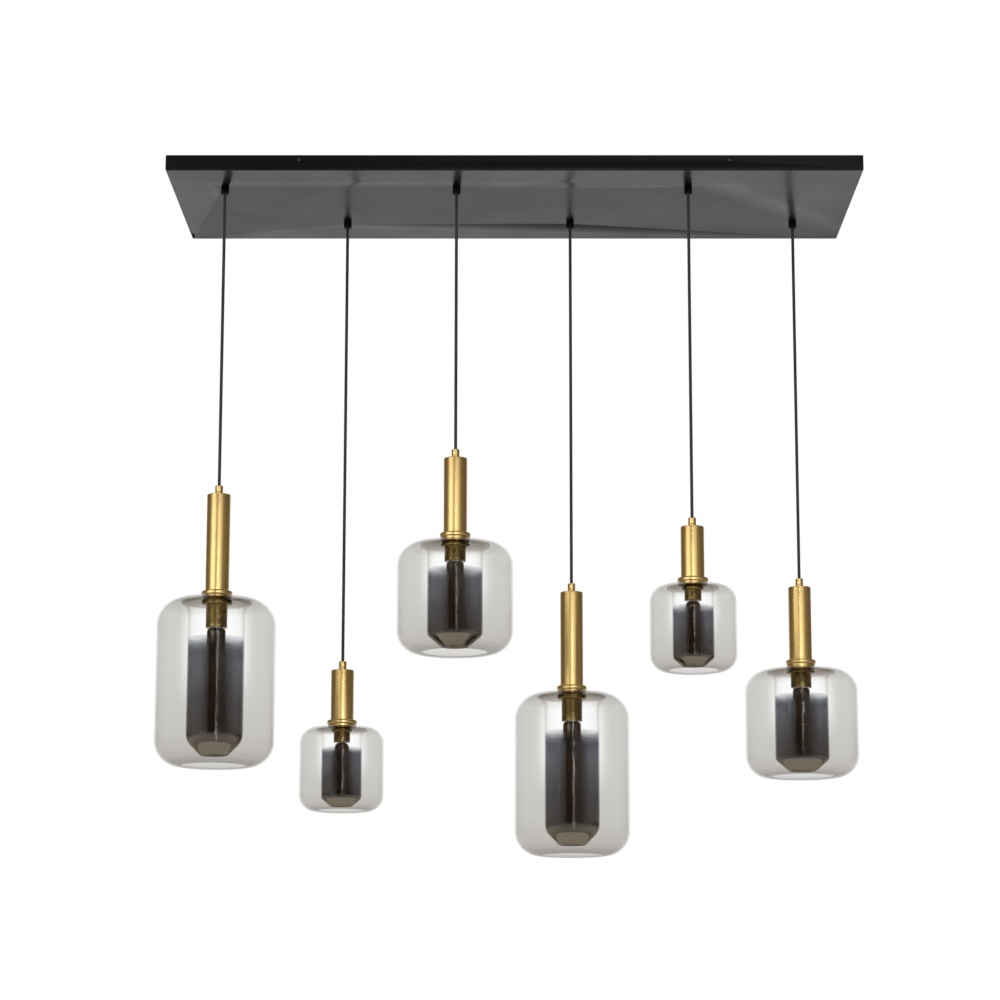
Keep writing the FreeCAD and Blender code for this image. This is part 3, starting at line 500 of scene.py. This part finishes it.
def make_world():
    """White to the eye and through glass, an even grey for soft light, and a dim warm room with a
    white far wall for what mirrors it."""
    world = bpy.data.worlds.new("studio")
    bpy.context.scene.world = world
    world.use_nodes = True
    nodes, links = world.node_tree.nodes, world.node_tree.links
    background = nodes["Background"]
    where = nodes.new("ShaderNodeTexCoord")
    split = nodes.new("ShaderNodeSeparateXYZ")
    links.new(where.outputs["Generated"], split.inputs["Vector"])
    depth = nodes.new("ShaderNodeMapRange")
    depth.inputs["From Min"].default_value = -1
    links.new(split.outputs["Y"], depth.inputs["Value"])
    room = nodes.new("ShaderNodeValToRGB")
    stops = [(0, (0.34, 0.31, 0.26)), (0.45, (0.16, 0.135, 0.105)), (0.86, (0.15, 0.13, 0.11)),
             (0.97, (0.86, 0.86, 0.85))]
    fill_ramp(room.color_ramp, stops)
    links.new(depth.outputs["Result"], room.inputs["Fac"])
    path = nodes.new("ShaderNodeLightPath")
    soft = nodes.new("ShaderNodeMix")
    soft.data_type = "RGBA"
    links.new(path.outputs["Is Glossy Ray"], soft.inputs["Factor"])
    soft.inputs["A"].default_value = (0.62, 0.62, 0.62, 1)
    links.new(room.outputs["Color"], soft.inputs["B"])
    seen = nodes.new("ShaderNodeMath")
    seen.operation = "MAXIMUM"
    links.new(path.outputs["Is Camera Ray"], seen.inputs[0])
    links.new(path.outputs["Is Transmission Ray"], seen.inputs[1])
    mix = nodes.new("ShaderNodeMix")
    mix.data_type = "RGBA"
    links.new(seen.outputs["Value"], mix.inputs["Factor"])
    links.new(soft.outputs["Result"], mix.inputs["A"])
    mix.inputs["B"].default_value = (1, 1, 1, 1)
    links.new(mix.outputs["Result"], background.inputs["Color"])


def make_lamp(name, place, aim, width, height, power):
    """A soft lamp that is turned to a point and isn't seen itself."""
    data = bpy.data.lights.new(name, "AREA")
    data.shape = "RECTANGLE"
    data.size = width
    data.size_y = height
    data.energy = power
    lamp = bpy.data.objects.new(name, data)
    lamp.location = place
    lamp.rotation_euler = (Vector(aim) - Vector(place)).to_track_quat("-Z", "Y").to_euler()
    lamp.visible_camera = False
    bpy.context.scene.collection.objects.link(lamp)


# ------------------------------------------------------------------ pan and fittings
def make_pan_pieces():
    paint = pan_paint()
    nylon = black_nylon()
    fit(smooth_copy("canopy_pan", "ceiling_pan_steel", paint), "ceiling_pan", "pan_paint", "canopy_pan")
    fit(smooth_copy("ceiling_brackets", "cross_brackets", zinc_steel()), "ceiling_pan",
        "bracket_steel", "ceiling_brackets")
    fit(smooth_copy("side_screws", "rim_screws", black_steel()), "ceiling_pan", "screw_black",
        "side_screws")
    fit(smooth_copy("cord_grips", "moulded_cord_grips", nylon), "ceiling_pan", "grip_nylon", "cord_grips")
    fit(smooth_copy("grip_nuts", "moulded_grip_nuts", nylon), "ceiling_pan", "grip_nylon", "grip_nuts")
    fit(smooth_copy("terminal_block", "mains_terminal_block", ivory_plastic()), "ceiling_pan",
        "terminal_plastic", "terminal_block")


# ------------------------------------------------------------------ cords
def make_cord(number, material):
    """A straight braided cord, kept taut by its pendant."""
    low, high, centre = place_of(f"cord_{number}")
    diameter = high.x - low.x
    length = high.z - low.z
    bm = bmesh.new()
    bmesh.ops.create_circle(bm, segments=32, radius=diameter / 2, cap_ends=True,
                            matrix=Matrix.Translation((*centre, low.z)))
    stretch = bmesh.ops.extrude_face_region(bm, geom=bm.faces[:], use_keep_orig=True)
    top = [g for g in stretch["geom"] if isinstance(g, bmesh.types.BMVert)]
    bmesh.ops.translate(bm, verts=top, vec=(0, 0, length))
    yarn = bm.loops.layers.uv.new("braid")
    for face in bm.faces:
        middle = face.calc_center_median()
        heading = atan2(middle.y - centre[1], middle.x - centre[0])
        for loop in face.loops:
            across = atan2(loop.vert.co.y - centre[1], loop.vert.co.x - centre[0]) - heading
            across = (across + pi) % (2 * pi) - pi + heading
            loop[yarn].uv = (across / (2 * pi), loop.vert.co.z / (pi * diameter))
    cord = finish_mesh(bm, f"drop_cord_braid_{number}", material, 60)
    fit(cord, f"drop_cord_{number}", "cord_fabric", f"cord_{number}")
    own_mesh(cord)


# ------------------------------------------------------------------ pendants
def make_gland(number, brass):
    """Turned gland: a spigot that goes through the tube's cap, and a body with one fine groove."""
    low, high, centre = place_of(f"cord_gland_{number}")
    radius = (high.x - low.x) / 2 / MM
    end = -22
    bore, spigot, shoulder = 3, 5, -16
    o = Outline(centre, high.z)
    o.to(bore, 0).to(bore, end).to(spigot, end).to(spigot, shoulder).to(radius, shoulder)
    o.to(radius, -11.2).to(radius - 0.5, -10.9).to(radius - 0.5, -10.5).to(radius, -10.2)
    o.to(radius, -0.8).to(radius - 0.8, 0).close()
    fit(o.turn(f"brass_gland_{number}", brass, 64, 0.25), f"pendant_{number}", "brushed_brass",
        f"cord_gland_{number}")


def make_tube(number, brass):
    """Brass tube with a closed top, rounded at its edge, and the hole for the gland's spigot."""
    low, high, centre = place_of(f"tube_{number}")
    radius = (high.x - low.x) / 2 / MM
    end = (low.z - high.z) / MM
    hole, roof, edge = 5.1, 2.5, 1.1
    o = Outline(centre, high.z)
    o.to(hole, -roof).to(radius - TUBE_WALL, -roof).to(radius - TUBE_WALL, end).to(radius, end)
    o.to(radius, -edge).arc(radius - edge, -edge, -90, 4).to(hole, 0).close()
    fit(o.turn(f"brass_tube_{number}", brass, 96), f"pendant_{number}", "brushed_brass", f"tube_{number}")


def make_collar(number, brass):
    """Collar with a full round bead, over a foot that stands on the shade and under the tube's end."""
    low, high, centre = place_of(f"collar_{number}")
    outside = (high.x - low.x) / 2 / MM
    end = (low.z - high.z) / MM
    holder = place_of(f"lampholder_{number}")
    bore = (holder[1].x - holder[0].x) / 2 / MM + 0.1
    bead, foot, bead_end = 2.6, 24.5, -7.5
    recess, recess_floor = 20.1, -2
    o = Outline(centre, high.z)
    o.to(bore, recess_floor).to(bore, end).to(foot, end).to(foot, bead_end).to(outside - bead, bead_end)
    o.arc(outside - bead, bead_end + bead, -90, 6).to(outside, -bead)
    o.arc(outside - bead, -bead, -90, 6).to(recess, 0).to(recess, recess_floor).close()
    fit(o.turn(f"brass_collar_{number}", brass, 96, 0.15), f"pendant_{number}", "brushed_brass",
        f"collar_{number}")


def make_shade(number):
    """Blown outer shade: crown, shoulder, wall, hip and turned-in mouth with a fire-polished lip."""
    c = CURVES[KIND[number]]
    low, high, centre = place_of(f"outer_glass_{number}")
    outer = (high.x - low.x) / 2 / MM
    bottom = (low.z - high.z) / MM
    lip = GLASS_WALL / 2
    neck = (place_of(f"lampholder_{number}")[1].x - centre[0]) / MM + 1
    lean = degrees(asin((outer - c["shoulder"] - SEAT) / (c["crown"] - c["shoulder"])))
    drop = c["crown"] - (c["crown"] - c["shoulder"]) * cos(radians(lean))
    o = Outline(centre, high.z)
    o.to(neck, 0).to(SEAT, 0).arc(SEAT, -c["crown"], lean, 6)
    o.arc(outer - c["shoulder"], -drop, 90 - lean, 16)
    o.to(outer, bottom + c["hip"]).arc(outer - c["hip"], bottom + c["hip"], 90, 18)
    o.to(c["mouth"] + lip, bottom).arc(c["mouth"] + lip, bottom + lip, 180, 8)
    o.to(outer - c["hip"], bottom + GLASS_WALL).arc(outer - c["hip"], bottom + c["hip"], -90, 18)
    o.to(outer - GLASS_WALL, -drop).arc(outer - c["shoulder"], -drop, lean - 90, 16)
    o.arc(SEAT, -c["crown"], -lean, 6).to(neck, -GLASS_WALL).close()
    glass = shade_glass(low.z, high.z, f"smoked_shade_glass_{number}")
    fit(o.turn(f"blown_shade_{number}", glass, 144, 0, 60), f"pendant_{number}", "shade_glass",
        f"outer_glass_{number}")


def make_liner(number):
    """Plated liner: a dipping flange, a trumpet down to the tube, and a cone with an open hole."""
    c = CURVES[KIND[number]]
    low, high, centre = place_of(f"inner_glass_{number}")
    top = high.z + GLASS_WALL * MM
    wall = LINER_WALL
    neck = (place_of(f"lampholder_{number}")[1].x - centre[0]) / MM + 1
    tube = c["liner"] / 2
    lip = (high.x - low.x) / 2 / MM
    bottom = (low.z - top) / MM
    lip_level = -GLASS_WALL - c["lip_drop"]
    dip = c["lip_drop"] / (lip - SEAT)
    out, up = lip - tube, c["flare"] - GLASS_WALL - c["lip_drop"] - wall
    trumpet = (out * out + up * up) / (2 * out)
    reach = tube + trumpet - SEAT
    height = c["flare"] - GLASS_WALL - wall
    span, grade = reach + dip * height, 1 + dip * dip
    rest = reach ** 2 + height ** 2 - (trumpet + wall) ** 2
    run = (span - (span * span - grade * rest) ** 0.5) / grade
    slope = radians(c["slope"])
    cone = (tube - c["corner"] + c["corner"] * sin(slope) - c["hole"] - wall * sin(slope))
    bowl = bottom + cone * sin(slope) / cos(slope) + c["corner"] * cos(slope)
    turn_in = 90 - c["slope"]
    sweep_out = degrees(atan2(up, trumpet - out))
    sweep_in = degrees(atan2(height - run * dip, tube + trumpet - SEAT - run))
    o = Outline(centre, top)
    o.to(neck, -GLASS_WALL).to(SEAT, -GLASS_WALL).to(lip, lip_level).to(lip, lip_level - wall)
    o.arc(tube + trumpet, -c["flare"], -sweep_out, 10)
    o.to(tube, bowl).arc(tube - c["corner"], bowl, turn_in, 10)
    o.to(c["hole"] + wall * sin(slope), bottom).to(c["hole"] + 0.4, bottom)
    o.to(c["hole"], bottom + 0.4).to(c["hole"], bottom + wall * cos(slope))
    inner = c["corner"] - wall
    o.to(tube - c["corner"] + inner * sin(slope), bowl - inner * cos(slope))
    o.arc(tube - c["corner"], bowl, -turn_in, 10)
    o.to(tube - wall, -c["flare"]).arc(tube + trumpet, -c["flare"], sweep_in, 10)
    o.to(SEAT, -GLASS_WALL - wall).to(neck, -GLASS_WALL - wall).close()
    glass = liner_glass(low.z, high.z, f"plated_liner_glass_{number}")
    fit(o.turn(f"plated_liner_{number}", glass, 128, 0.5, 50), f"pendant_{number}", "liner_glass",
        f"inner_glass_{number}")


def make_ring(number, brass):
    """Ring nut on the lampholder's skirt that clamps both glasses under the collar."""
    low, high, centre = place_of(f"shade_ring_{number}")
    rim = (high.x - low.x) / 2 / MM
    end = (low.z - high.z) / MM
    bore = (place_of(f"lampholder_{number}")[1].x - centre[0]) / MM + 0.1
    o = Outline(centre, high.z)
    o.to(bore, 0).to(bore, end).to(rim - 1.5, end).to(rim, end + 1.5).to(rim, 0).close()
    fit(o.turn(f"shade_ring_nut_{number}", brass, 96, 0.4), f"pendant_{number}", "aged_brass",
        f"shade_ring_{number}")


def make_holder(number, brass):
    """Lampholder skirt with shallow thread grooves below the ring and a rolled lower edge."""
    low, high, centre = place_of(f"lampholder_{number}")
    skirt = (high.x - low.x) / 2 / MM
    bottom = (low.z - high.z) / MM
    socket = CURVES[KIND[number]]["socket"]
    ring_end = (place_of(f"shade_ring_{number}")[0].z - high.z) / MM
    cap_top = (place_of(f"bulb_{number}")[1].z - high.z) / MM
    roof = cap_top + 0.8
    o = Outline(centre, high.z)
    o.to(2.5, roof + 4).to(2.5, roof).to(socket, roof).to(socket, bottom).to(skirt - 0.6, bottom)
    o.arc(skirt - 0.6, bottom + 0.6, -90, 3)
    o.to(skirt, bottom + 3).to(skirt - 0.7, bottom + 3.4).to(skirt - 0.7, bottom + 4.4)
    o.to(skirt, bottom + 4.8)
    groove = bottom + 7
    while groove < ring_end - 1.5:
        o.to(skirt, groove).to(skirt - 0.5, groove + 0.6).to(skirt, groove + 1.2)
        groove += 2
    o.to(skirt, -1.2).to(skirt - 1.2, 0).to(skirt - 3, 0).to(skirt - 3, roof + 4).close()
    fit(o.turn(f"lampholder_skirt_{number}", brass, 96), f"pendant_{number}", "aged_brass",
        f"lampholder_{number}")


def make_bulb(number, rod, wire, nickel):
    """Tubular bulb: amber envelope, screw cap, glass rod and a long coiled filament beside it."""
    c = CURVES[KIND[number]]
    low, high, centre = place_of(f"bulb_{number}")
    body = f"lamp_{number}"
    radius = (high.x - low.x) / 2 / MM
    tip = (low.z - high.z) / MM
    cap, neck = c["cap"], c["neck"]
    bend = radius - neck
    holder_end = place_of(f"lampholder_{number}")[0].z
    shown = holder_end - low.z
    # painted shade on the bulb: its tint darkens from a third of its shown length below the lampholder to
    # just under it
    glass = bulb_glass(holder_end - 0.34 * shown, holder_end - 0.08 * shown, f"amber_bulb_glass_{number}")
    o = Outline(centre, high.z)
    o.to(neck, -cap / 2).to(neck, -cap).arc(neck, -cap - bend, 90, 8)
    o.to(radius, tip + radius).arc(0, tip + radius, 90, 14)
    o.to(0, tip + BULB_WALL).arc(0, tip + radius, -90, 14)
    o.to(radius - BULB_WALL, -cap - bend).arc(neck, -cap - bend, -90, 8)
    o.to(neck - BULB_WALL, -cap / 2).close()
    fit(o.turn(f"bulb_envelope_{number}", glass, 64, 0, 60), body, "bulb_amber", f"bulb_{number}")
    shell = c["socket"] - 0.3
    o = Outline(centre, high.z)
    o.to(neck + 0.1, -cap).to(shell - 0.4, -cap)
    ridge = -cap + 0.6
    while ridge < -5:
        o.to(shell - 0.9, ridge).to(shell, ridge + 1)
        ridge += 2
    o.to(shell - 1, -3).to(c["socket"] * 0.44, 0).to(0, 0).to(0, -cap / 2 + 1)
    o.to(neck + 0.1, -cap / 2 + 1).close()
    fit(o.turn(f"bulb_screw_cap_{number}", nickel, 64, 0), body, "bulb_amber")
    o = Outline(centre, high.z)
    stem_end = -cap - 14
    rod_end = tip + 9
    o.to(0, -cap / 2).to(neck - 3, -cap / 2).to(neck - 4, -cap - 4).to(1.6, stem_end)
    o.to(1.3, rod_end).arc(0, rod_end, 90, 4)
    fit(o.turn(f"bulb_glass_rod_{number}", rod, 24, 0, 60), body, "bulb_amber")
    wire_radius, coil_radius, pitch, steps = 0.45, 1.5, 3.2, 10
    coil = bmesh.new()
    where = Matrix.Translation((centre[0] - 0.0035, centre[1] - 0.002, high.z + (stem_end + 4) * MM))
    bmesh.ops.create_circle(coil, segments=5, radius=wire_radius * MM,
                            matrix=where @ Matrix.Translation((coil_radius * MM, 0, 0))
                            @ Matrix.Rotation(pi / 2, 4, "X"))
    fall = stem_end - rod_end
    turns = int(fall / pitch)
    bmesh.ops.spin(coil, geom=coil.verts[:] + coil.edges[:], cent=where.translation, axis=(0, 0, 1),
                   dvec=(0, 0, -fall * MM / (turns * steps)), angle=2 * pi * turns,
                   steps=turns * steps)
    bmesh.ops.holes_fill(coil, edges=coil.edges)
    fit(finish_mesh(coil, f"bulb_filament_{number}", wire, 60), body, "bulb_amber")


# ------------------------------------------------------------------ the scene
make_camera()
braid = cord_braid()
for number in KIND:
    make_cord(number, braid)
make_floor()
make_world()
for name, settings in LAMPS.items():
    make_lamp(name, *settings)
make_pan_pieces()
brass, dark_brass = brushed_brass(), aged_brass()
rod, wire, nickel = rod_glass(), filament_metal(), cap_nickel()
for number in KIND:
    make_gland(number, brass)
    make_tube(number, brass)
    make_collar(number, brass)
    make_shade(number)
    make_liner(number)
    make_ring(number, dark_brass)
    make_holder(number, dark_brass)
    make_bulb(number, rod, wire, nickel)

bpy.context.scene.view_settings.view_transform = "Standard"
# a look through a whole pendant crosses four glass walls and the bulb's
bpy.context.scene.cycles.transparent_max_bounces = 32
